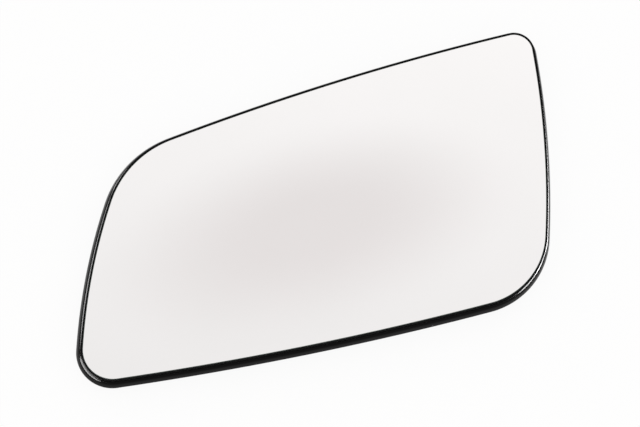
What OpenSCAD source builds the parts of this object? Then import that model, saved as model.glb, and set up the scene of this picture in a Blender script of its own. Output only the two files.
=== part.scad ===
// Convex mirror glass for a car door mirror, in its moulded clip-on holder.
// The glass faces +Z, +X runs from the outer tip to the door, and +Y is up on the car.
// The origin is the centre of the circle that the holder's claws grip.
// Every curved face is a sphere about one centre, so a height is always
// measured square to the reflecting face, and is 0 on that face.

/* [Outline of the glass] */
// Lower side, between the sharp corners that its two fillets cut off
base_len = 163.4; // [140:0.1:190]
// Outer tip side, between its sharp corners
tip_len = 82.3; // [70:0.1:95]
// Angle of the outer tip side above the lower side, in degrees
tip_lean = 67; // [60:0.5:85]
// Door side, between its sharp corners
root_len = 96.3; // [82:0.1:110]
// Angle of the door side above the lower side, in degrees
root_lean = 78.5; // [70:0.5:90]
// How far the lower side bows out past its chord
base_bow = 3.4; // [1:0.1:7]
// How far the door side bows out
root_bow = 3.5; // [1:0.1:7]
// How far the upper side bows out
top_bow = 2.3; // [1:0.1:7]
// How far the outer tip side bows out
tip_bow = 4; // [1:0.1:7]
// Fillet between the outer tip side and the lower side
base_tip_r = 10.5; // [5:0.5:16]
// Fillet between the lower side and the door side
base_root_r = 28; // [12:0.5:36]
// Fillet between the door side and the upper side
top_root_r = 6.5; // [4:0.5:16]
// Fillet between the upper side and the outer tip side
top_tip_r = 35.5; // [15:0.5:42]

/* [Glass and bonding pad] */
// Radius of the convex reflecting face
face_r = 1300; // [800:10:2000]
// Thickness of the glass
glass_t = 2; // [1.5:0.1:3]
// Thickness of the foam bonding pad
pad_t = 0.7; // [0.4:0.1:1.5]
// How far the pad stops short of the edge of the glass
pad_inset = 3; // [1:0.5:3.5]

/* [Holder tray] */
// Gap between the edge of the glass and the lip round it
edge_gap = 0.15; // [0.1:0.05:0.5]
// Thickness of the plate behind the glass
plate_t = 1.6; // [1.2:0.1:3]
// Thickness of the lip round the glass
lip_t = 0.55; // [0.5:0.05:1.6]
// Radius of the lip's two upper edges
lip_edge = 0.15; // [0.05:0.05:0.2]
// How far the lip's upright outer face reaches below the reflecting face
lip_depth = 1.8; // [1:0.1:2.5]
// How far the lip stands proud of the reflecting face
lip_proud = 0.3; // [0.1:0.05:1]
// How far the side wall reaches behind the plate
skirt = 0.4; // [0.3:0.1:4]
// How far the side wall flares out past the lip
wall_flare = 1.35; // [0.2:0.05:2]
// How far the flared face bows out past its chord
wall_bow = 0.25; // [0.05:0.05:0.3]
// Thickness of the side wall at its rear edge
wall_t = 1.5; // [1:0.1:2.5]
// Chamfer on the outer rear edge of the side wall
wall_chamfer = 0.3; // [0.1:0.05:0.6]

/* [Snap ring] */
// Distance of the ring's axis from the lower outer sharp corner, along the lower side
ring_x = 96.8; // [80:0.1:110]
// Height of the ring's axis above the lower side
ring_y = 41.8; // [36:0.1:50]
// Inner radius of the collar
collar_r = 27; // [22:0.5:32]
// Thickness of the collar
collar_t = 1.8; // [1.2:0.1:3]
// Depth of the socket, from the rear end of the collar to the plate
socket_depth = 9; // [7:0.5:12]
// Number of claws
claw_count = 6; // [3:1:8]
// Width of a claw, as an angle
claw_angle = 26; // [14:1:34]
// Thickness of a claw
claw_t = 1.5; // [1:0.1:2.5]
// How much thinner a claw gets at its tip
claw_taper = 0.3; // [0:0.05:0.6]
// Slit on each side of a claw
slit = 1.2; // [0.6:0.1:2]
// How far a claw stops short of the collar's end
claw_short = 0.4; // [0:0.1:1.5]
// How far a hook reaches in from its claw
hook = 1.2; // [0.6:0.1:2]
// Length of the gripping face at the tip of a hook
hook_land = 1.2; // [0.6:0.1:2]
// Length of the slope behind the gripping face, which lets the ring pull off again
hook_slope = 0.6; // [0.3:0.1:2]
// Width of the two key notches in the end of the collar
key_w = 5; // [3:0.5:8]
// Depth of the key notches
key_depth = 2.5; // [1:0.5:5]

/* [Ribs] */
// Thickness of every rib
rib_t = 1.2; // [0.8:0.1:2]
// Height of the straight ribs where they start, measured at the ring's axis
rib_h = 3.6; // [1.5:0.1:4]
// Height of the round rib, measured at the ring's axis
round_rib_h = 4.2; // [4.2:0.1:6]
// Clear space between the collar and the round rib outside it
round_rib_gap = 6.5; // [4:0.5:10]

/* [Hidden] */

// Steps in each corner and side of the outline, in the rounds of the lip and in the flared face
CORNER_STEPS = 15;
SIDE_STEPS = 9;
ROUND_STEPS = 4;
WALL_STEPS = 4;
// Facets of a whole ball or cylinder where it is drawn as a mesh
BALL_FN = 256;
ROUND_FN = 128;
// How far one solid runs on into another that it joins
SINK = 0.4;
// A length past the end of anything here
FAR = 60;

// Heights of the layers, from the reflecting face
pad_top = -glass_t;
plate_top = pad_top - pad_t;
plate_mid = plate_top - plate_t / 2;
plate_back = plate_top - plate_t;
wall_end = plate_back - skirt;

// Lengths along the ring's axis: the claws' grip is at z = 0
hook_lead = hook;
grip_from_tip = hook_lead + hook_land / 2;
claw_end_z = -grip_from_tip;
collar_end_z = claw_end_z - claw_short;
plate_back_z = collar_end_z + socket_depth;
ball_z = plate_back_z - plate_back - face_r;
rib_end_z = plate_back_z - rib_h;
round_rib_end_z = plate_back_z - round_rib_h;

// Outward offsets from the edge of the glass
lip_in = edge_gap;
lip_out = lip_in + lip_t;
wall_out = lip_out + wall_flare;
plate_edge = lip_in + lip_t / 2;

collar_out = collar_r + collar_t;
round_rib_r = collar_out + round_rib_gap;
claw_pitch = 360 / claw_count;
gap_angle = claw_angle + 4 * asin(slit / 2 / collar_r);

// The sharp corners, anticlockwise from the lower outer one
low_tip = [-ring_x, -ring_y];
low_root = low_tip + [base_len, 0];
high_root = low_root + root_len * [cos(root_lean), sin(root_lean)];
high_tip = low_tip + tip_len * [cos(tip_lean), sin(tip_lean)];
corners = [low_tip, low_root, high_root, high_tip];
bows = [base_bow, root_bow, top_bow, tip_bow];
fillets = [base_tip_r, base_root_r, top_root_r, top_tip_r];

// A side is an arc [centre, radius] through two corners
function side(a, b, bow) =
    let (chord = norm(b - a), along = (b - a) / chord, radius = chord * chord / (8 * bow) + bow / 2)
    [(a + b) / 2 - [along.y, -along.x] * (radius - bow), radius];
sides = [for (i = [0:3]) side(corners[i], corners[(i + 1) % 4], bows[i])];

// Where two circles cross, on the side nearest a given point
function crossing(c1, r1, c2, r2, near) =
    let (
        apart = norm(c2 - c1),
        along = (c2 - c1) / apart,
        x = (apart * apart + r1 * r1 - r2 * r2) / (2 * apart),
        y = sqrt(r1 * r1 - x * x),
        p = c1 + along * x + [-along.y, along.x] * y,
        q = c1 + along * x - [-along.y, along.x] * y
    )
    norm(p - near) < norm(q - near) ? p : q;

// A fillet's centre lies its own radius inside both of the sides that it joins
function fillet_centre(i) =
    let (before = sides[(i + 3) % 4], after = sides[i], r = fillets[i])
    crossing(before[0], before[1] - r, after[0], after[1] - r, corners[i]);
centres = [for (i = [0:3]) fillet_centre(i)];

function heading(v) = atan2(v.y, v.x);
function turn(from, to) = (to - from + 720) % 360;

// The outline as arcs [centre, radius, start, turn, steps], each tangent to the next
arcs = [
    for (i = [0:3])
        let (
            before = heading(centres[i] - sides[(i + 3) % 4][0]),
            after = heading(centres[i] - sides[i][0]),
            next = heading(centres[(i + 1) % 4] - sides[i][0])
        )
        each [
            [centres[i], fillets[i], before, turn(before, after), CORNER_STEPS],
            [sides[i][0], sides[i][1], after, turn(after, next), SIDE_STEPS]
        ]
];

// Points of the outline, moved outwards by an offset
function outline(offset) = [
    for (arc = arcs)
        for (k = [0:arc[4] - 1])
            let (a = arc[2] + arc[3] * k / arc[4])
            arc[0] + (arc[1] + offset) * [cos(a), sin(a)]
];

// The point at a height over a place on the plan
function on_ball(p, height) =
    [p.x, p.y, ball_z + sqrt(pow(face_r + height, 2) - p.x * p.x - p.y * p.y)];

// How far the side wall is from the ring's axis in a direction
function reach(angle) =
    let (way = [cos(angle), sin(angle)], points = outline(lip_in), n = len(points))
    [
        for (i = [0:n - 1])
            let (p = points[i], q = points[(i + 1) % n], a = cross(p, way), b = cross(q, way))
            if (a >= 0 && b < 0) norm(p + (q - p) * a / (a - b))
    ][0];

module ball(height) {
    translate([0, 0, ball_z])
        sphere(r = face_r + height, $fn = BALL_FN);
}

module prism(offset) {
    translate([0, 0, -FAR])
        linear_extrude(height = 2 * FAR)
            polygon(outline(offset));
}

// A sheet cut to the outline, between two heights
module sheet(offset, top, bottom) {
    difference() {
        intersection() {
            prism(offset);
            ball(top);
        }
        ball(bottom);
    }
}

// Carries a section of [offset, height] points round the outline
module edging(section) {
    n = len(section);
    rows = [for (s = section) outline(s[0])];
    m = len(rows[0]);
    points = [for (i = [0:m - 1]) for (j = [0:n - 1]) on_ball(rows[j][i], section[j][1])];
    faces = [
        for (i = [0:m - 1])
            for (j = [0:n - 1])
                let (
                    a = i * n + j,
                    b = i * n + (j + 1) % n,
                    c = ((i + 1) % m) * n + (j + 1) % n,
                    d = ((i + 1) % m) * n + j
                )
                each [[a, c, b], [a, d, c]]
    ];
    polyhedron(points = points, faces = faces, convexity = 6);
}

// Points round one edge of the lip, clockwise from an angle
function lip_round(offset, from) = [
    for (k = [0:ROUND_STEPS])
        let (a = from - 90 * k / ROUND_STEPS)
        [offset, lip_proud - lip_edge] + lip_edge * [cos(a), sin(a)]
];

// The flared face, from the foot of the lip down to the chamfer
wall_top = [lip_out, -lip_depth];
wall_low = [wall_out, wall_end + wall_chamfer];
wall_run = wall_low - wall_top;
wall_face = [
    for (k = [0:WALL_STEPS])
        let (t = k / WALL_STEPS)
        wall_top + wall_run * t + 4 * wall_bow * t * (1 - t) * [-wall_run.y, wall_run.x] / norm(wall_run)
];

// Section of the lip and side wall, clockwise from the inside of the plate
rim_section = [
    [lip_in, plate_mid],
    each lip_round(lip_in + lip_edge, 180),
    each lip_round(lip_out - lip_edge, 90),
    each wall_face,
    [wall_out - wall_chamfer, wall_end],
    [wall_out - wall_t, wall_end]
];

module mirror_glass() {
    color([0.93, 0.93, 0.94])
        sheet(0, 0, pad_top);
}

module bonding_pad() {
    color([0.36, 0.37, 0.38])
        sheet(-pad_inset, pad_top, plate_top);
}

// Turns its child to each claw in turn
module at_claws() {
    for (i = [0:claw_count - 1])
        rotate([0, 0, i * claw_pitch])
            children();
}

// A piece of a ring between two radii and two levels, centred on +X
module sector(r_in, r_out, z_low, z_high, angle) {
    rotate([0, 0, -angle / 2])
        rotate_extrude(angle = angle, $fn = ROUND_FN)
            translate([r_in, z_low])
                square([r_out - r_in, z_high - z_low]);
}

module tube(r_in, r_out, z_low, z_high) {
    translate([0, 0, z_low])
        difference() {
            cylinder(r = r_out, h = z_high - z_low, $fn = ROUND_FN);
            translate([0, 0, -SINK])
                cylinder(r = r_in, h = z_high - z_low + 2 * SINK, $fn = ROUND_FN);
        }
}

// One claw: a springy wall with a hook on its inner face
module claw() {
    rotate([0, 0, -claw_angle / 2])
        rotate_extrude(angle = claw_angle, $fn = ROUND_FN)
            polygon([
                [collar_r, claw_end_z],
                [collar_r - hook, claw_end_z + hook_lead],
                [collar_r - hook, claw_end_z + hook_lead + hook_land],
                [collar_r, claw_end_z + hook_lead + hook_land + hook_slope],
                [collar_r, FAR],
                [collar_r + claw_t, FAR],
                [collar_r + claw_t, plate_back_z],
                [collar_r + claw_t - claw_taper, claw_end_z]
            ]);
}

// The collar, cut away for the claws, their slits and the two key notches
module collar() {
    difference() {
        tube(collar_r, collar_out, collar_end_z, FAR);
        at_claws()
            sector(collar_r - SINK, collar_out + SINK, collar_end_z - SINK, 2 * FAR, gap_angle);
        rotate([0, 0, claw_pitch / 2])
            translate([0, 0, collar_end_z])
                cube([2 * FAR, key_w, 2 * key_depth], center = true);
    }
}

// A straight rib whose free edge runs from full height down to the rear edge of the side wall
module rib(angle, start) {
    end = reach(angle);
    end_z = on_ball([end, 0], wall_end).z;
    rotate([90, 0, angle])
        linear_extrude(height = rib_t, center = true)
            polygon([
                [start, rib_end_z],
                [end, end_z],
                [end + FAR, end_z],
                [end + FAR, FAR],
                [start, FAR]
            ]);
}

// Straight ribs out to the side wall, and the round rib that ties them together
module ribs() {
    tube(round_rib_r, round_rib_r + rib_t, round_rib_end_z, FAR);
    for (i = [0:2 * claw_count - 1])
        rib(i * claw_pitch / 2, i % 2 == 0 ? round_rib_r + SINK : collar_out - SINK);
}

module glass_holder() {
    color([0.05, 0.05, 0.055])
        union() {
            edging(rim_section);
            difference() {
                sheet(plate_edge, plate_top, plate_back);
                at_claws()
                    sector(collar_r - hook, collar_r, 0, FAR, claw_angle);
            }
            intersection() {
                prism(plate_edge);
                ball(plate_mid);
                union() {
                    collar();
                    at_claws()
                        claw();
                    ribs();
                }
            }
        }
}

mirror_glass();
bonding_pad();
glass_holder();
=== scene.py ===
"""A convex car door mirror glass in its black moulded holder, lying face up in a white studio."""

import math

import bmesh
import bpy
import numpy as np
from mathutils import Matrix, Vector


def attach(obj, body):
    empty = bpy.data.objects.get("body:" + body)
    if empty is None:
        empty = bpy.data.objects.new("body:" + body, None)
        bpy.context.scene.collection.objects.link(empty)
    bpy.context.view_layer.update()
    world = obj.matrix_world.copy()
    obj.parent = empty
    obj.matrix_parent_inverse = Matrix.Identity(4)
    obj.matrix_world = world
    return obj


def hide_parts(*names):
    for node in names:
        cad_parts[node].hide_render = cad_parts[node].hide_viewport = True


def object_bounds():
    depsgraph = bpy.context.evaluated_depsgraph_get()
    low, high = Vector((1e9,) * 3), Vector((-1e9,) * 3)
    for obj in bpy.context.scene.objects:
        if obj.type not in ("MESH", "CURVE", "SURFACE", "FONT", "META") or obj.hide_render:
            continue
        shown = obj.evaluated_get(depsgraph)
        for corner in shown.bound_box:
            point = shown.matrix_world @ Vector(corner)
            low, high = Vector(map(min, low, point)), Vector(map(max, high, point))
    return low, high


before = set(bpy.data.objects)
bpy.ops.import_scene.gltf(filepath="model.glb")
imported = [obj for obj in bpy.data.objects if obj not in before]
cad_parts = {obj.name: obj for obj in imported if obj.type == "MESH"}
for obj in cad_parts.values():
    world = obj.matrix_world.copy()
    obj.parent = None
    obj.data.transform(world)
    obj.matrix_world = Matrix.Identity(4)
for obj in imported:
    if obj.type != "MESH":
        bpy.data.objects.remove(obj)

MM = 0.001
CAD_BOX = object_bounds()

# The outline of the glass, in millimetres and degrees, as the CAD part has it
BASE_LEN, TIP_LEN, TIP_LEAN, ROOT_LEN, ROOT_LEAN = 163.4, 82.3, 67, 96.3, 78.5
BOWS = (3.4, 3.5, 2.3, 4)
FILLETS = (10.5, 28, 6.5, 35.5)
RING_X, RING_Y = 96.8, 41.8

# The layers, the lip and the side wall. The lip is a little thinner than the CAD part's, and the wall's outer
# edge is in the same place.
FACE_R, GLASS_T, PAD_T, PLATE_T = 1300, 2, 0.7, 1.6
EDGE_GAP, LIP_T, LIP_PROUD, LIP_EDGE, LIP_DEPTH = 0.15, 0.4, 0.3, 0.15, 1.8
SKIRT, WALL_FLARE, WALL_T = 0.4, 1.5, 1.5

# The snap ring and the ribs
COLLAR_R, COLLAR_T, SOCKET_DEPTH = 27, 1.8, 9
CLAW_COUNT, CLAW_ANGLE, CLAW_T, CLAW_TAPER, CLAW_SHORT = 6, 26, 1.5, 0.3, 0.4
SLIT, HOOK, HOOK_LAND, HOOK_SLOPE = 1.2, 1.2, 1.2, 0.6
KEY_W, KEY_DEPTH = 5, 2.5
RIB_T, RIB_H, ROUND_RIB_H, ROUND_RIB_GAP = 1.2, 3.6, 4.2, 6.5

# Small details that only the visible surfaces have
GLASS_ARRIS, REAR_ARRIS = 0.25, 0.15
INNER_FILLET, LIP_INNER_EDGE = 0.3, 0.04
FLAT_MARGIN = 0.03
FOOT_FILLET = 0.08
# The shoulder's radius, how many degrees up its face looks at its two ends, and at the low end of the flare
SHOULDER_R, SHOULDER_TOP, SHOULDER_LOW, FLARE_LOW = 1.8, 72, 52, 17
OUTER_ROUND, MOULD_ROUND = 0.3, 0.15
RIB_DRAFT = 0.15

# Fineness of the meshes
CORNER_STEPS, SIDE_STEPS, FACE_RINGS, RIB_STEPS = 30, 20, 14, 12
EDGE_STEPS, FILLET_STEPS, CREST_STEPS, SHOULDER_STEPS, WALL_STEPS = 3, 4, 5, 5, 8
DEGREES_PER_STEP = 2

# Edges sharper than this many degrees stay sharp
SHARP_GLASS, SHARP_PLASTIC, SHARP_ROUNDED = 20, 32, 40
# A face whose normal agrees with the ball's by this much takes the ball's own normals
ALONG_GLASS, ALONG_PLASTIC = 0.99, 0.999

# Material slots, on the glass and on the holder
FRONT, EDGE, BACK = 0, 1, 2
POLISHED, GRAINED, DULL = 0, 1, 2

# Worked out from the sizes above
PAD_TOP = -GLASS_T
PLATE_TOP = PAD_TOP - PAD_T
PLATE_BACK = PLATE_TOP - PLATE_T
PLATE_MID = (PLATE_TOP + PLATE_BACK) / 2
WALL_END = PLATE_BACK - SKIRT
CLAW_END_Z = -HOOK - HOOK_LAND / 2
COLLAR_END_Z = CLAW_END_Z - CLAW_SHORT
PLATE_BACK_Z = COLLAR_END_Z + SOCKET_DEPTH
BALL_Z = PLATE_BACK_Z - PLATE_BACK - FACE_R
RIB_END_Z = PLATE_BACK_Z - RIB_H
ROUND_RIB_END_Z = PLATE_BACK_Z - ROUND_RIB_H
LIP_IN = EDGE_GAP
LIP_OUT = LIP_IN + LIP_T
WALL_OUT = LIP_OUT + WALL_FLARE
COLLAR_OUT = COLLAR_R + COLLAR_T
ROUND_RIB_R = COLLAR_OUT + ROUND_RIB_GAP
CLAW_PITCH = 360 / CLAW_COUNT
GAP_ANGLE = CLAW_ANGLE + 4 * math.degrees(math.asin(SLIT / 2 / COLLAR_R))
SINK = 0.5


def polar(degrees):
    return np.array([math.cos(math.radians(degrees)), math.sin(math.radians(degrees))])


def heading(v):
    return math.degrees(math.atan2(v[1], v[0]))


def bowed_side(a, b, bow):
    """Centre and radius of the arc through two corners."""
    chord = np.linalg.norm(b - a)
    along = (b - a) / chord
    radius = chord * chord / (8 * bow) + bow / 2
    return (a + b) / 2 - np.array([along[1], -along[0]]) * (radius - bow), radius


def crossing(c1, r1, c2, r2, near):
    """Where two circles cross, on the side nearest a given point."""
    apart = np.linalg.norm(c2 - c1)
    along = (c2 - c1) / apart
    x = (apart * apart + r1 * r1 - r2 * r2) / (2 * apart)
    y = math.sqrt(r1 * r1 - x * x)
    across = np.array([-along[1], along[0]])
    found = [c1 + along * x + across * s * y for s in (1, -1)]
    return min(found, key=lambda p: np.linalg.norm(p - near))


def outline_arcs():
    """The outline as arcs (centre, radius, start, turn, steps), each tangent to the next."""
    low_tip = np.array([-RING_X, -RING_Y], float)
    low_root = low_tip + np.array([BASE_LEN, 0])
    corners = [
        low_tip,
        low_root,
        low_root + ROOT_LEN * polar(ROOT_LEAN),
        low_tip + TIP_LEN * polar(TIP_LEAN),
    ]
    sides = [bowed_side(corners[i], corners[(i + 1) % 4], BOWS[i]) for i in range(4)]
    centres = []
    for i in range(4):
        (c1, r1), (c2, r2) = sides[i - 1], sides[i]
        centres.append(crossing(c1, r1 - FILLETS[i], c2, r2 - FILLETS[i], corners[i]))
    arcs = []
    for i in range(4):
        centre, radius = sides[i]
        before = heading(centres[i] - sides[i - 1][0])
        after = heading(centres[i] - centre)
        following = heading(centres[(i + 1) % 4] - centre)
        arcs.append((centres[i], FILLETS[i], before, (after - before) % 360, CORNER_STEPS))
        arcs.append((centre, radius, after, (following - after) % 360, SIDE_STEPS))
    return arcs


ARCS = outline_arcs()


def outline(offset, scale=1.0):
    """Points round the edge of the glass, moved outwards by an offset, then scaled about the axis."""
    points = [
        centre + (radius + offset) * polar(start + turn * k / steps)
        for centre, radius, start, turn, steps in ARCS
        for k in range(steps)
    ]
    return np.array(points) * scale


def on_ball(points, height):
    """Lifts plan points to a height over the reflecting face."""
    points = np.atleast_2d(points)
    z = BALL_Z + np.sqrt((FACE_R + height) ** 2 - (points**2).sum(1))
    return np.column_stack([points, z])


def arc_section(centre, radius, first, last, steps):
    """Section points [offset, height] along an arc."""
    return [
        tuple(np.array(centre) + radius * polar(first + (last - first) * k / steps))
        for k in range(steps + 1)
    ]


def curve(start, bend, end, steps):
    """Section points along a quadratic curve, without its end."""
    shares = [k / steps for k in range(steps)]
    return [start * (1 - t) ** 2 + bend * 2 * t * (1 - t) + end * t * t for t in shares]


def wall_section():
    """The wall's face: a fillet at the lip's foot, a rounded shoulder and the flare down to the rear."""
    foot = np.array([LIP_OUT, -LIP_DEPTH])
    low = np.array([WALL_OUT, WALL_END + OUTER_ROUND])
    middle = foot - SHOULDER_R * polar(SHOULDER_TOP)
    first = SHOULDER_TOP - math.degrees(FOOT_FILLET / SHOULDER_R)
    shoulder = arc_section(middle, SHOULDER_R, first, SHOULDER_LOW, SHOULDER_STEPS)
    edge = np.array(shoulder[-1])
    down, up = -polar(SHOULDER_LOW + 90), polar(FLARE_LOW + 90)
    reach = np.linalg.solve(np.column_stack([down, -up]), low - edge)[0]
    fillet_top = foot + np.array([0, FOOT_FILLET])
    # Two loops close to the ends of the lip's upright face keep its shading flat
    margin = np.array([0, FLAT_MARGIN])
    points = [np.array([LIP_OUT, LIP_PROUD - LIP_EDGE]) - margin, fillet_top + margin]
    points += curve(fillet_top, foot, np.array(shoulder[0]), EDGE_STEPS)
    points += shoulder[:-1]
    points += curve(edge, edge + down * reach, low, WALL_STEPS)
    return [tuple(p) for p in points]


def new_object(name, points, faces, face_slots=None):
    mesh = bpy.data.meshes.new(name)
    mesh.from_pydata([tuple(float(c) * MM for c in p) for p in points], [], faces)
    if face_slots:
        mesh.polygons.foreach_set("material_index", face_slots)
    mesh.validate()
    bm = bmesh.new()
    bm.from_mesh(mesh)
    bmesh.ops.recalc_face_normals(bm, faces=bm.faces)
    bm.to_mesh(mesh)
    bm.free()
    piece = bpy.data.objects.new(name, mesh)
    bpy.context.scene.collection.objects.link(piece)
    return piece


def lofted(name, loops, slots):
    """A closed skin over stacked loops, closed to a point at both ends. slots has one entry a band."""
    count = len(loops[0])
    points = [p for loop in loops for p in loop]
    faces, face_slots = [], []
    for band in range(len(loops) - 1):
        low, high = band * count, (band + 1) * count
        for i in range(count):
            j = (i + 1) % count
            faces.append((low + i, low + j, high + j, high + i))
            face_slots.append(slots[band])
    for loop, slot in ((0, slots[0]), (len(loops) - 1, slots[-1])):
        points.append(np.mean(loops[loop], axis=0))
        base = loop * count
        for i in range(count):
            faces.append((base + i, base + (i + 1) % count, len(points) - 1))
            face_slots.append(slot)
    return new_object(name, points, faces, face_slots)


def turned(name, profile, middle, angle):
    """Turns a closed [radius, z] profile through an angle about the axis, with flat ends."""
    steps = max(2, round(angle / DEGREES_PER_STEP))
    whole = angle >= 360
    count, stations = len(profile), steps if whole else steps + 1
    points = []
    for k in range(stations):
        way = polar(middle - angle / 2 + angle * k / steps)
        points += [(r * way[0], r * way[1], z) for r, z in profile]
    faces = []
    for k in range(steps):
        a, b = k * count, ((k + 1) % stations) * count
        faces += [(a + j, a + (j + 1) % count, b + (j + 1) % count, b + j) for j in range(count)]
    if not whole:
        faces.append(tuple(range(count)))
        faces.append(tuple(range((stations - 1) * count, stations * count)))
    return new_object(name, points, faces)


def apply_modifiers(piece):
    """Swaps the piece's mesh for the one that its modifiers make."""
    depsgraph = bpy.context.evaluated_depsgraph_get()
    made = bpy.data.meshes.new_from_object(piece.evaluated_get(depsgraph))
    old = piece.data
    piece.modifiers.clear()
    piece.data = made
    bpy.data.meshes.remove(old)


def soften(piece):
    """Rounds every sharp edge a little, as a moulding has."""
    bevel = piece.modifiers.new("round", "BEVEL")
    bevel.width = MOULD_ROUND * MM
    bevel.segments = 2
    bevel.limit_method = "ANGLE"
    bevel.angle_limit = math.radians(SHARP_ROUNDED)
    apply_modifiers(piece)


def combine(piece, others, operation):
    """Adds the others to a solid, or cuts them out of it, and removes them."""
    holder = bpy.data.collections.new("operands")
    bpy.context.scene.collection.children.link(holder)
    for other in others:
        holder.objects.link(other)
    step = piece.modifiers.new("combine", "BOOLEAN")
    step.operation = operation
    step.operand_type = "COLLECTION"
    step.collection = holder
    step.solver = "EXACT"
    apply_modifiers(piece)
    for other in others:
        bpy.data.objects.remove(other)
    bpy.data.collections.remove(holder)


def shade(piece, angle, along_ball):
    """Smooth shading with sharp edges, and true normals on the faces that lie along the ball."""
    mesh = piece.data
    mesh.polygons.foreach_set("use_smooth", [True] * len(mesh.polygons))
    mesh.set_sharp_from_angle(angle=math.radians(angle))
    centre = Vector((0, 0, BALL_Z * MM))
    normals = [(0.0, 0.0, 0.0)] * len(mesh.loops)
    for polygon in mesh.polygons:
        out = (polygon.center - centre).normalized()
        side = polygon.normal.dot(out)
        if abs(side) < along_ball:
            continue
        for loop in polygon.loop_indices:
            point = mesh.vertices[mesh.loops[loop].vertex_index].co
            normals[loop] = (point - centre).normalized() * math.copysign(1, side)
    mesh.normals_split_custom_set(normals)


# Materials

class Nodes:
    """Short ways to add nodes to a tree and join them."""

    def __init__(self, tree):
        self.tree = tree
        tree.nodes.clear()

    def add(self, kind, **settings):
        node = self.tree.nodes.new("ShaderNode" + kind)
        for name, value in settings.items():
            if hasattr(node, name):
                setattr(node, name, value)
            else:
                node.inputs[name.replace("_", " ")].default_value = value
        return node

    def join(self, source, target):
        self.tree.links.new(source, target)

    def noise(self, vector, scale, detail=2.0, roughness=0.5):
        node = self.add("TexNoise", Scale=scale, Detail=detail, Roughness=roughness)
        self.join(vector, node.inputs["Vector"])
        return node.outputs["Fac"]

    def remap(self, value, low, high, to_low, to_high, smooth=False):
        node = self.add("MapRange", interpolation_type="SMOOTHSTEP" if smooth else "LINEAR")
        limits = {"From Min": low, "From Max": high, "To Min": to_low, "To Max": to_high}
        for name, number in limits.items():
            node.inputs[name].default_value = number
        self.join(value, node.inputs["Value"])
        return node.outputs["Result"]

    def math(self, operation, *values):
        node = self.add("Math", operation=operation)
        for socket, value in zip(node.inputs, values):
            if isinstance(value, (int, float)):
                socket.default_value = value
            else:
                self.join(value, socket)
        return node.outputs[0]

    def blend(self, factor, first, second):
        node = self.add("Mix", data_type="RGBA")
        for socket, value in ((node.inputs[6], first), (node.inputs[7], second)):
            if isinstance(value, tuple):
                socket.default_value = value
            else:
                self.join(value, socket)
        self.join(factor, node.inputs[0])
        return node.outputs[2]

    def bump(self, height, distance):
        node = self.add("Bump", Strength=1.0, Distance=distance)
        self.join(height, node.inputs["Height"])
        return node.outputs["Normal"]


def surface_material(name):
    """A material with a principled shader. Returns the material, its nodes, the shader and object places."""
    material = bpy.data.materials.new(name)
    material.use_nodes = True
    nodes = Nodes(material.node_tree)
    output = nodes.add("OutputMaterial")
    shader = nodes.add("BsdfPrincipled")
    nodes.join(shader.outputs["BSDF"], output.inputs["Surface"])
    places = nodes.add("TexCoord").outputs["Object"]
    return material, nodes, shader, places


def silvering():
    """Silver seen through clear glass, with the faintest haze of handling."""
    material, nodes, shader, places = surface_material("silvered_glass")
    shader.inputs["Metallic"].default_value = 1.0
    shader.inputs["Coat Weight"].default_value = 0.5
    shader.inputs["Coat Roughness"].default_value = 0.01
    cloud = nodes.noise(places, 28.0, 3.0)
    silver = nodes.blend(cloud, (0.90, 0.905, 0.905, 1), (0.925, 0.925, 0.93, 1))
    nodes.join(silver, shader.inputs["Base Color"])
    haze = nodes.noise(places, 90.0, 5.0, 0.6)
    nodes.join(nodes.remap(haze, 0.35, 0.75, 0.015, 0.05), shader.inputs["Roughness"])
    return material


def glass_edge():
    """The ground edge of the glass: pale grey-green and dull."""
    material, nodes, shader, places = surface_material("ground_glass_edge")
    shader.inputs["Roughness"].default_value = 0.45
    grain = nodes.noise(places, 6000.0, 2.0)
    ground = nodes.blend(grain, (0.10, 0.13, 0.12, 1), (0.20, 0.24, 0.22, 1))
    nodes.join(ground, shader.inputs["Base Color"])
    nodes.join(nodes.bump(grain, 0.00003), shader.inputs["Normal"])
    return material


def backing_paint():
    """The grey paint that protects the silvering."""
    material, nodes, shader, places = surface_material("backing_paint")
    orange_peel = nodes.noise(places, 900.0, 2.0)
    paint = nodes.blend(orange_peel, (0.16, 0.165, 0.17, 1), (0.2, 0.205, 0.21, 1))
    nodes.join(paint, shader.inputs["Base Color"])
    nodes.join(nodes.remap(orange_peel, 0.3, 0.7, 0.4, 0.55), shader.inputs["Roughness"])
    nodes.join(nodes.bump(orange_peel, 0.00004), shader.inputs["Normal"])
    return material


def foam():
    """Closed-cell foam sheet."""
    material, nodes, shader, places = surface_material("foam_sheet")
    cells = nodes.add("TexVoronoi", Scale=3500.0)
    nodes.join(places, cells.inputs["Vector"])
    depth = cells.outputs["Distance"]
    sheet = nodes.blend(depth, (0.14, 0.145, 0.15, 1), (0.055, 0.057, 0.06, 1))
    nodes.join(sheet, shader.inputs["Base Color"])
    shader.inputs["Roughness"].default_value = 0.9
    nodes.join(nodes.bump(depth, 0.0001), shader.inputs["Normal"])
    return material


def smooth_plastic(name, tone, specular, roughness):
    """Black plastic without a grain: polished on the side wall and dull on the lip."""
    material, nodes, shader, places = surface_material(name)
    mottle = nodes.noise(places, 60.0, 4.0)
    shader.inputs["Specular IOR Level"].default_value = specular
    dark, pale = (tone, tone, tone * 1.05, 1), (tone * 2, tone * 2, tone * 2.15, 1)
    nodes.join(nodes.blend(mottle, dark, pale), shader.inputs["Base Color"])
    grain = nodes.noise(places, 5200.0, 2.0)
    nodes.join(nodes.remap(grain, 0.3, 0.7, *roughness), shader.inputs["Roughness"])
    nodes.join(nodes.bump(grain, 0.0000002), shader.inputs["Normal"])
    return material


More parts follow.
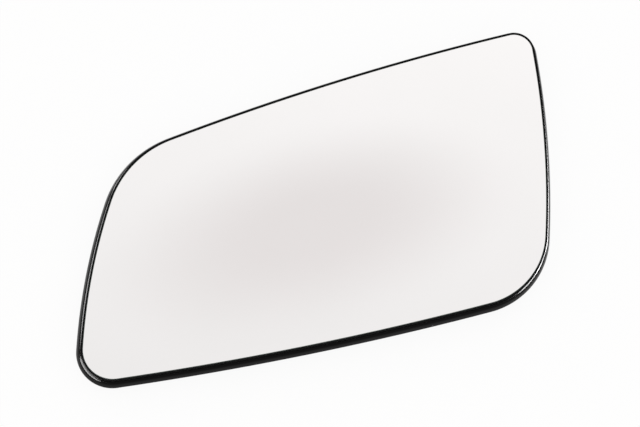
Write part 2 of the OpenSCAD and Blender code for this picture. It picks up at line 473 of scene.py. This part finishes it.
def grained_plastic():
    """The black plastic behind, with the fine grain of a spark-eroded mould."""
    material, nodes, shader, places = surface_material("black_plastic_back")
    mottle = nodes.noise(places, 45.0, 4.0)
    black = nodes.blend(mottle, (0.011, 0.011, 0.012, 1), (0.019, 0.019, 0.02, 1))
    nodes.join(black, shader.inputs["Base Color"])
    grain = nodes.noise(places, 3200.0, 3.0, 0.6)
    nodes.join(nodes.remap(grain, 0.3, 0.7, 0.42, 0.6), shader.inputs["Roughness"])
    nodes.join(nodes.bump(grain, 0.00003), shader.inputs["Normal"])
    return material


# Pieces

def make_glass():
    """The glass: a sheet between two spheres, with its sharp edges taken off."""
    scales = [(k + 1) / FACE_RINGS for k in range(FACE_RINGS)]
    loops = [on_ball(outline(-GLASS_ARRIS, s), 0) for s in scales]
    loops.append(on_ball(outline(0), -GLASS_ARRIS))
    loops.append(on_ball(outline(0), PAD_TOP + REAR_ARRIS))
    loops += [on_ball(outline(-REAR_ARRIS, s), PAD_TOP) for s in reversed(scales)]
    slots = [FRONT] * (FACE_RINGS - 1) + [EDGE] * 3 + [BACK] * (FACE_RINGS - 1)
    glass = lofted("convex_glass", loops, slots)
    for material in (silvering(), glass_edge(), backing_paint()):
        glass.data.materials.append(material)
    shade(glass, SHARP_GLASS, ALONG_GLASS)
    return glass


def make_tray():
    """The curved plate with its rounded lip and flared side wall, as one skin."""
    scales = [(k + 1) / FACE_RINGS for k in range(FACE_RINGS)]
    inner = LIP_IN - INNER_FILLET
    skirt_in = WALL_OUT - WALL_T
    plate_fillet = (inner, PLATE_TOP + INNER_FILLET)
    lip_inside = (LIP_IN + LIP_INNER_EDGE, LIP_PROUD - LIP_INNER_EDGE)
    lip_outside = (LIP_OUT - LIP_EDGE, LIP_PROUD - LIP_EDGE)
    wall_outside = (WALL_OUT - OUTER_ROUND, WALL_END + OUTER_ROUND)
    wall_inside = (skirt_in + MOULD_ROUND, WALL_END + MOULD_ROUND)
    lip = arc_section(plate_fillet, INNER_FILLET, -90, 0, FILLET_STEPS)[1:]
    lip += arc_section(lip_inside, LIP_INNER_EDGE, 180, 90, EDGE_STEPS)
    lip += arc_section(lip_outside, LIP_EDGE, 90, 0, CREST_STEPS)
    wall = wall_section()
    wall += arc_section(wall_outside, OUTER_ROUND, 0, -90, CREST_STEPS)
    wall += arc_section(wall_inside, MOULD_ROUND, -90, -180, EDGE_STEPS)
    loops = [on_ball(outline(inner, s), PLATE_TOP) for s in scales]
    loops += [on_ball(outline(offset), height) for offset, height in lip + wall]
    loops += [on_ball(outline(skirt_in, s), PLATE_BACK) for s in reversed(scales)]
    slots = [GRAINED] * (FACE_RINGS - 1) + [DULL] * len(lip) + [POLISHED] * (len(wall) + 1)
    slots += [GRAINED] * (FACE_RINGS - 1)
    return lofted("holder_moulding", loops, slots)


def plate_z(radius, height):
    """The level, at a distance from the axis, of a height over the reflecting face."""
    return on_ball((radius, 0), height)[0][2]


def make_claw(middle):
    land_z = CLAW_END_Z + HOOK
    top = plate_z(COLLAR_R + CLAW_T, PLATE_MID)
    claw = turned("claw", [
        (COLLAR_R - CLAW_TAPER / 2, CLAW_END_Z),
        (COLLAR_R - HOOK, land_z),
        (COLLAR_R - HOOK, land_z + HOOK_LAND),
        (COLLAR_R, land_z + HOOK_LAND + HOOK_SLOPE),
        (COLLAR_R, top),
        (COLLAR_R + CLAW_T, top),
        (COLLAR_R + CLAW_T, PLATE_BACK_Z - SINK),
        (COLLAR_R + CLAW_T - CLAW_TAPER, CLAW_END_Z),
    ], middle, CLAW_ANGLE)
    soften(claw)
    return claw


def make_collar_part(middle, notched):
    top = plate_z(COLLAR_OUT, PLATE_MID)
    part = turned("collar", [
        (COLLAR_R, COLLAR_END_Z),
        (COLLAR_OUT, COLLAR_END_Z),
        (COLLAR_OUT, top),
        (COLLAR_R, top),
    ], middle, CLAW_PITCH - GAP_ANGLE)
    if notched:
        notch = box_at("notch", middle, COLLAR_R - COLLAR_T, COLLAR_OUT + COLLAR_T, KEY_W,
                       COLLAR_END_Z - KEY_DEPTH, COLLAR_END_Z + KEY_DEPTH)
        combine(part, [notch], "DIFFERENCE")
    soften(part)
    return part


def box_at(name, angle, r_in, r_out, width, z_low, z_high):
    """A box that points out from the axis."""
    way = polar(angle)
    across = np.array([-way[1], way[0]]) * width / 2
    plan = [way * r_in - across, way * r_out - across, way * r_out + across, way * r_in + across]
    points = [(*p, z) for z in (z_low, z_high) for p in plan]
    faces = [(0, 1, 2, 3), (4, 5, 6, 7)]
    faces += [(i, (i + 1) % 4, (i + 1) % 4 + 4, i + 4) for i in range(4)]
    return new_object(name, points, faces)


def wall_reach(angle):
    """How far the side wall is from the ring's axis in a direction."""
    way = polar(angle)
    points = outline(LIP_IN)
    following = np.roll(points, -1, axis=0)
    a = points[:, 0] * way[1] - points[:, 1] * way[0]
    b = following[:, 0] * way[1] - following[:, 1] * way[0]
    i = np.where((a >= 0) & (b < 0))[0][0]
    return np.linalg.norm(points[i] + (following[i] - points[i]) * a[i] / (a[i] - b[i]))


def make_rib(angle, start):
    """A straight rib, thinner at its free edge, that runs down to the rear edge of the side wall."""
    end = wall_reach(angle)
    end_z = plate_z(end, WALL_END + MOULD_ROUND)
    way = polar(angle)
    across = np.array([-way[1], way[0]])
    points = []
    for k in range(RIB_STEPS + 1):
        share = k / RIB_STEPS
        r = start + (end + LIP_T / 2 - start) * share
        free_z = RIB_END_Z + (end_z - RIB_END_Z) * min(1, (r - start) / (end - start))
        root_z = plate_z(r, PLATE_MID)
        for side, z in ((1, root_z), (-1, root_z), (-1, free_z), (1, free_z)):
            thickness = RIB_T / 2 - (RIB_DRAFT if z == free_z else 0)
            points.append((*(way * r + across * side * thickness), z))
    faces = []
    for k in range(RIB_STEPS):
        a, b = 4 * k, 4 * k + 4
        faces += [(a + j, a + (j + 1) % 4, b + (j + 1) % 4, b + j) for j in range(4)]
    faces += [(0, 1, 2, 3), tuple(4 * RIB_STEPS + j for j in range(4))]
    rib = new_object("rib", points, faces)
    soften(rib)
    return rib


def make_round_rib():
    top = plate_z(ROUND_RIB_R + RIB_T, PLATE_MID)
    rib = turned("round_rib", [
        (ROUND_RIB_R + RIB_DRAFT, ROUND_RIB_END_Z),
        (ROUND_RIB_R + RIB_T - RIB_DRAFT, ROUND_RIB_END_Z),
        (ROUND_RIB_R + RIB_T, top),
        (ROUND_RIB_R, top),
    ], 0, 360)
    soften(rib)
    return rib


def make_holder():
    """The whole black moulding, with the windows that the hooks' mould cores leave."""
    holder = make_tray()
    windows = [
        turned("window", [
            (COLLAR_R - HOOK, 0),
            (COLLAR_R, 0),
            (COLLAR_R, PLATE_BACK_Z + 2 * PLATE_T),
            (COLLAR_R - HOOK, PLATE_BACK_Z + 2 * PLATE_T),
        ], i * CLAW_PITCH, CLAW_ANGLE)
        for i in range(CLAW_COUNT)
    ]
    combine(holder, windows, "DIFFERENCE")
    added = [make_round_rib()]
    for i in range(CLAW_COUNT):
        added.append(make_claw(i * CLAW_PITCH))
        added.append(make_collar_part((i + 0.5) * CLAW_PITCH, i % (CLAW_COUNT // 2) == 0))
    for i in range(2 * CLAW_COUNT):
        start = ROUND_RIB_R + SINK if i % 2 == 0 else COLLAR_OUT - SINK
        added.append(make_rib(i * CLAW_PITCH / 2, start))
    for piece in added:
        piece.data.polygons.foreach_set("material_index", [GRAINED] * len(piece.data.polygons))
    for material in (
        smooth_plastic("black_plastic_wall", tone=0.0015, specular=0.06, roughness=(0.1, 0.18)),
        grained_plastic(),
        # The lip's black is paler than the wall's. The extra tone is painted reflection: it stands in for the
        # faint reflection that the lip's glossless top doesn't show.
        smooth_plastic("black_plastic_lip", tone=0.006, specular=0.0, roughness=(0.45, 0.6)),
    ):
        holder.data.materials.append(material)
    for piece in added:
        for material in holder.data.materials:
            piece.data.materials.append(material)
    combine(holder, added, "UNION")
    shade(holder, SHARP_PLASTIC, ALONG_PLASTIC)
    return holder


# Studio

# The floor: metres from the axis to its edges, its colour, and how much of it the camera sees as plain white
FLOOR_REACH = 3.0
FLOOR_COLOUR = (0.92, 0.92, 0.92, 1)
FLOOR_GLOW = 0.92

# The studio's tone, along Y and across X: (from, to, tone at from, tone at to). A direction is given by its
# slopes, X and Y over Z, with Z held above a least value.
TONE_ALONG, TONE_ACROSS = (0.12, 0.45, 0.919, 1.02), (-0.15, 0.45, -0.012, 0.036)
LEAST_Z = 0.2
STUDIO_TINT = (1.0, 0.978, 0.969)

# The dim patch: the slopes of its middle, its half widths, its lean, and where its soft edge starts and ends
PATCH_AT, PATCH_SIZE, PATCH_LEAN = (0.135, 0.2385), (0.139, 0.0655), 0.105
PATCH_COLOUR, PATCH_EDGE = (0.853, 0.812, 0.804, 1), (1.636, 0.297)

# Softboxes for the lines on the rim: name, azimuth, elevation, width and height in metres, radiance
SOFTBOX_DISTANCE = 1.0
SOFTBOXES = (
    ("strip_door_side", 12, 16, 0.72, 0.34, 250),
    ("strip_door_corner", -12, 28, 0.32, 0.19, 280),
    ("strip_door_low", -28, 34, 0.3, 0.2, 200),
    ("strip_tip_top", 117, 19, 0.45, 0.25, 70),
    ("strip_tip_side", 138, 34, 0.55, 0.28, 85),
    ("strip_tip_corner", -163, 26, 0.85, 0.42, 80),
)

# The camera looks at this place on the plan of the glass. Its turn is about +Z, from +X
AIM = (-3.74, -0.14)
CAMERA_DISTANCE = 1.0
CAMERA_TILT, CAMERA_TURN, CAMERA_ROLL = 17.0, -119.84, 13.34
MM_PER_PIXEL, PHOTO_WIDTH = 0.3475, 640
SENSOR = 36.0
CLIP = (0.01, 20)


def make_camera():
    """Looks at the glass from the photograph's direction, through a long lens."""
    tilt, turn, roll = (math.radians(a) for a in (CAMERA_TILT, CAMERA_TURN, CAMERA_ROLL))
    back = Vector((math.sin(tilt) * math.cos(turn), math.sin(tilt) * math.sin(turn), math.cos(tilt)))
    up = Vector((0, 1, 0))
    up = (up - up.dot(back) * back).normalized()
    right = up.cross(back)
    image_right = math.cos(roll) * right - math.sin(roll) * up
    image_up = math.sin(roll) * right + math.cos(roll) * up
    target = Vector(on_ball(AIM, 0)[0]) * MM
    data = bpy.data.cameras.new("camera")
    data.sensor_width = SENSOR
    data.lens = CAMERA_DISTANCE / MM / MM_PER_PIXEL / PHOTO_WIDTH * SENSOR
    data.clip_start, data.clip_end = CLIP
    camera = bpy.data.objects.new("camera", data)
    turned_to = Matrix((image_right, image_up, back)).transposed().to_4x4()
    camera.matrix_world = Matrix.Translation(target + back * CAMERA_DISTANCE) @ turned_to
    bpy.context.scene.collection.objects.link(camera)
    bpy.context.scene.camera = camera


def make_floor():
    """A plain white floor. The camera sees it near white, with the object's shadow kept faint."""
    z = CAD_BOX[0].z / MM
    reach = FLOOR_REACH / MM
    corners = [(-reach, -reach, z), (reach, -reach, z), (reach, reach, z), (-reach, reach, z)]
    floor = new_object("floor", corners, [(0, 1, 2, 3)])
    material = bpy.data.materials.new("floor_white")
    material.use_nodes = True
    nodes = Nodes(material.node_tree)
    output = nodes.add("OutputMaterial")
    plain = nodes.add("BsdfDiffuse", Color=FLOOR_COLOUR)
    glow = nodes.add("Emission", Color=(1, 1, 1, 1), Strength=1.0)
    path = nodes.add("LightPath").outputs
    seen = nodes.math("MAXIMUM", path["Is Camera Ray"], path["Is Glossy Ray"])
    seen = nodes.math("MAXIMUM", seen, path["Is Transmission Ray"])
    share = nodes.math("MULTIPLY", seen, FLOOR_GLOW)
    mix = nodes.add("MixShader")
    nodes.join(share, mix.inputs[0])
    nodes.join(plain.outputs[0], mix.inputs[1])
    nodes.join(glow.outputs[0], mix.inputs[2])
    nodes.join(mix.outputs[0], output.inputs["Surface"])
    floor.data.materials.append(material)


def make_softbox(lit, name, azimuth, elevation, width, height, radiance):
    """A softbox that only the gloss of the lit pieces shows. It lights nothing else."""
    data = bpy.data.lights.new(name, "AREA")
    data.shape = "RECTANGLE"
    data.size, data.size_y = width, height
    data.energy = radiance * math.pi * width * height
    softbox = bpy.data.objects.new(name, data)
    flat = polar(azimuth) * math.cos(math.radians(elevation))
    away = Vector((flat[0], flat[1], math.sin(math.radians(elevation))))
    softbox.location = away * SOFTBOX_DISTANCE
    softbox.rotation_euler = away.to_track_quat("Z", "Y").to_euler()
    softbox.visible_camera = softbox.visible_diffuse = False
    softbox.light_linking.receiver_collection = lit
    bpy.context.scene.collection.objects.link(softbox)


def light_rim(piece):
    """The soft lines on the rim of the holder."""
    lit = bpy.data.collections.new("rim_lit")
    lit.objects.link(piece)
    for softbox in SOFTBOXES:
        make_softbox(lit, *softbox)


def make_world():
    """A pale studio that grows a shade lighter along +Y and +X, with a soft dim patch that the mirror shows."""
    world = bpy.data.worlds.new("studio")
    world.use_nodes = True
    bpy.context.scene.world = world
    nodes = Nodes(world.node_tree)
    output = nodes.add("OutputWorld")
    background = nodes.add("Background", Strength=1.0)
    parts = nodes.add("SeparateXYZ")
    nodes.join(nodes.add("TexCoord").outputs["Generated"], parts.inputs[0])
    height = nodes.math("MAXIMUM", parts.outputs["Z"], LEAST_Z)
    across = nodes.math("DIVIDE", parts.outputs["X"], height)
    along = nodes.math("DIVIDE", parts.outputs["Y"], height)
    tone = nodes.math("ADD", nodes.remap(along, *TONE_ALONG), nodes.remap(across, *TONE_ACROSS))
    plain = nodes.add("CombineColor")
    for socket, share in zip(plain.inputs, STUDIO_TINT):
        nodes.join(nodes.math("MULTIPLY", tone, share), socket)
    leaned = nodes.math("SUBTRACT", along, nodes.math("MULTIPLY", across, PATCH_LEAN))
    offsets = [
        nodes.math("POWER", nodes.math("DIVIDE", nodes.math("SUBTRACT", place, middle), size), 2)
        for place, middle, size in zip((across, leaned), PATCH_AT, PATCH_SIZE)
    ]
    away = nodes.math("SQRT", nodes.math("ADD", *offsets))
    patch = nodes.remap(away, *PATCH_EDGE, 0, 1, smooth=True)
    nodes.join(nodes.blend(patch, plain.outputs[0], PATCH_COLOUR), background.inputs["Color"])
    nodes.join(background.outputs[0], output.inputs["Surface"])


glass = make_glass()
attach(glass, "root")
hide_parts("mirror_glass")

holder = make_holder()
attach(holder, "root")
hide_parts("glass_holder")

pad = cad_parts["bonding_pad"]
for slot in pad.material_slots:
    slot.material = foam()

make_camera()
make_floor()
make_world()
light_rim(holder)

bpy.context.scene.view_settings.view_transform = "Standard"
